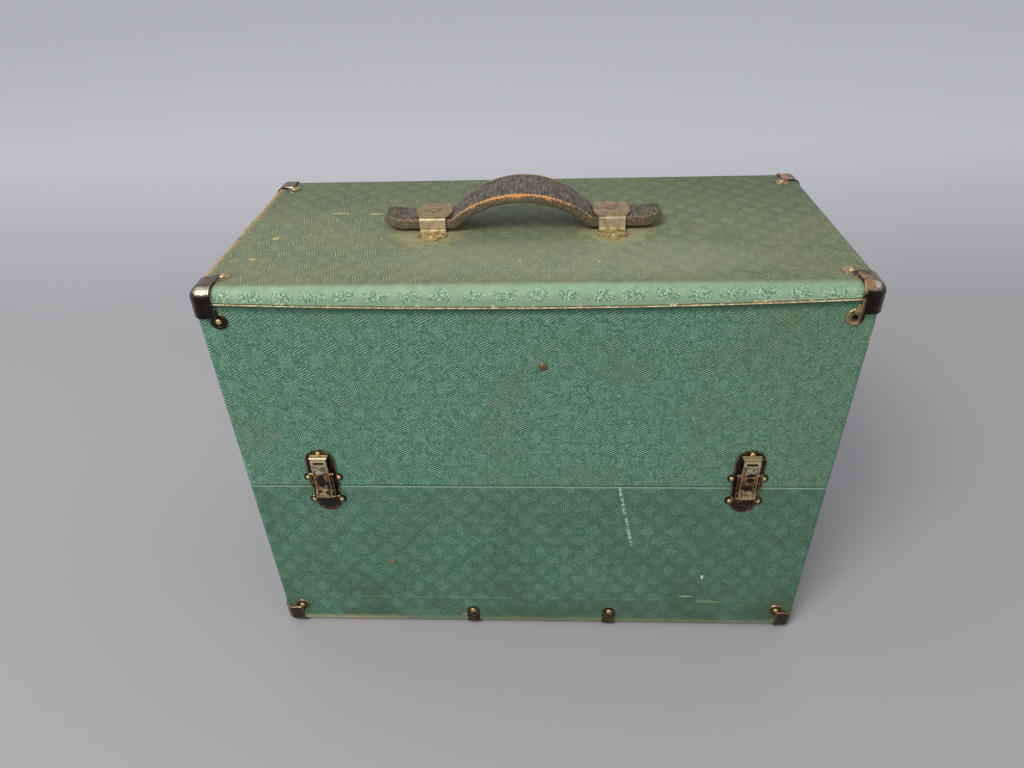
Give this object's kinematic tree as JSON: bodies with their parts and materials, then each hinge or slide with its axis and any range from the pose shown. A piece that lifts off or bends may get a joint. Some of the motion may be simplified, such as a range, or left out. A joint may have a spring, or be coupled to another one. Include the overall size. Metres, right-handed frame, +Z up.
{
  "type": "projector case",
  "caption": "Cloth-covered wooden carrying case with a hinged lid, draw latches, pressed metal corner guards, glides and a leather handle in metal loops.",
  "frame": {"origin": "centre of the case's footprint, on the plane that its glides and lower guards rest on", "axes": "+X along the case to the right as seen from the latches, +Y to the hinged back, +Z up"},
  "size_m": [0.4544, 0.2294, 0.3701],
  "materials": {
    "cover_cloth": "worn embossed bookcloth",
    "top_cloth": "worn embossed bookcloth, rubbed",
    "plywood": "raw plywood",
    "lining": "matt lining paper",
    "guide_strip": "raw strip",
    "guard_metal": "worn nickel plate over brass",
    "glide_metal": "worn nickel plate",
    "hinge_metal": "worn nickel plate",
    "latch_plate": "worn black lacquer over brass",
    "latch_lever": "nickel plate worn to brass",
    "latch_link": "worn nickel plate",
    "latch_pin": "worn steel",
    "loop_brass": "dull antique brass",
    "handle_leather": "black-brown leather, edges rubbed tan"
  },
  "bodies": {
    "base": {"base_bottom_panel": "plywood", "base_front_panel": "plywood", "base_back_panel": "plywood", "base_left_panel": "plywood", "base_right_panel": "plywood", "base_covering": "cover_cloth", "base_lining": "lining", "base_rim_tongue": "guide_strip", "base_corner_guards": "guard_metal", "front_left_glide": "glide_metal", "front_right_glide": "glide_metal", "back_left_glide": "glide_metal", "back_right_glide": "glide_metal", "left_hinge_base_leaf": "hinge_metal", "right_hinge_base_leaf": "hinge_metal", "left_hinge_pin": "hinge_metal", "right_hinge_pin": "hinge_metal", "left_latch_base_plate": "latch_plate", "right_latch_base_plate": "latch_plate", "left_latch_link_pin": "latch_pin", "right_latch_link_pin": "latch_pin"},
    "lid": {"lid_top_panel": "plywood", "lid_front_panel": "plywood", "lid_back_panel": "plywood", "lid_left_panel": "plywood", "lid_right_panel": "plywood", "lid_covering": "cover_cloth", "lid_top_cloth": "top_cloth", "lid_lining": "lining", "lid_corner_guards": "guard_metal", "left_hinge_lid_leaf": "hinge_metal", "right_hinge_lid_leaf": "hinge_metal", "left_latch_keeper": "latch_plate", "right_latch_keeper": "latch_plate", "left_handle_loop": "loop_brass", "right_handle_loop": "loop_brass", "handle_grip": "handle_leather"},
    "left_link": {"left_latch_link": "latch_link", "left_latch_lever_pin": "latch_pin"},
    "left_lever": {"left_latch_lever": "latch_lever"},
    "right_link": {"right_latch_link": "latch_link", "right_latch_lever_pin": "latch_pin"},
    "right_lever": {"right_latch_lever": "latch_lever"},
    "left_handle_end": {"left_handle_end": "handle_leather"},
    "right_handle_end": {"right_handle_end": "handle_leather"}
  },
  "joints": [
    {"name": "lid_hinge", "type": "hinge", "parent": "base", "child": "lid", "pos_m": [0, 0.1109, 0.1677], "axis": [-1, 0, 0], "range_deg": [0, 162]},
    {"name": "left_latch_link", "type": "hinge", "parent": "base", "child": "left_link", "pos_m": [-0.163, -0.1103, 0.1594], "axis": [1, 0, 0], "range_deg": [0, 140]},
    {"name": "left_latch_lever", "type": "hinge", "parent": "left_link", "child": "left_lever", "pos_m": [-0.163, -0.1109, 0.1827], "axis": [-1, 0, 0], "range_deg": [0, 168]},
    {"name": "right_latch_link", "type": "hinge", "parent": "base", "child": "right_link", "pos_m": [0.1625, -0.1103, 0.1594], "axis": [1, 0, 0], "range_deg": [0, 140]},
    {"name": "right_latch_lever", "type": "hinge", "parent": "right_link", "child": "right_lever", "pos_m": [0.1625, -0.1109, 0.1827], "axis": [-1, 0, 0], "range_deg": [0, 168]},
    {"name": "handle_flatten", "type": "slide", "parent": "lid", "child": "left_handle_end", "axis": [-1, 0, 0], "range_m": [0, 0.005], "deforming": ["handle_grip"]},
    {"name": "right_handle_end_slide", "type": "slide", "parent": "lid", "child": "right_handle_end", "axis": [1, 0, 0], "range_m": [0, 0.005]}
  ],
  "couplings": [
    {"joint": "left_latch_lever", "follows": "left_latch_link", "ratio": 1.2},
    {"joint": "right_latch_lever", "follows": "right_latch_link", "ratio": 1.2},
    {"joint": "right_handle_end_slide", "follows": "handle_flatten", "ratio": 1}
  ]
}
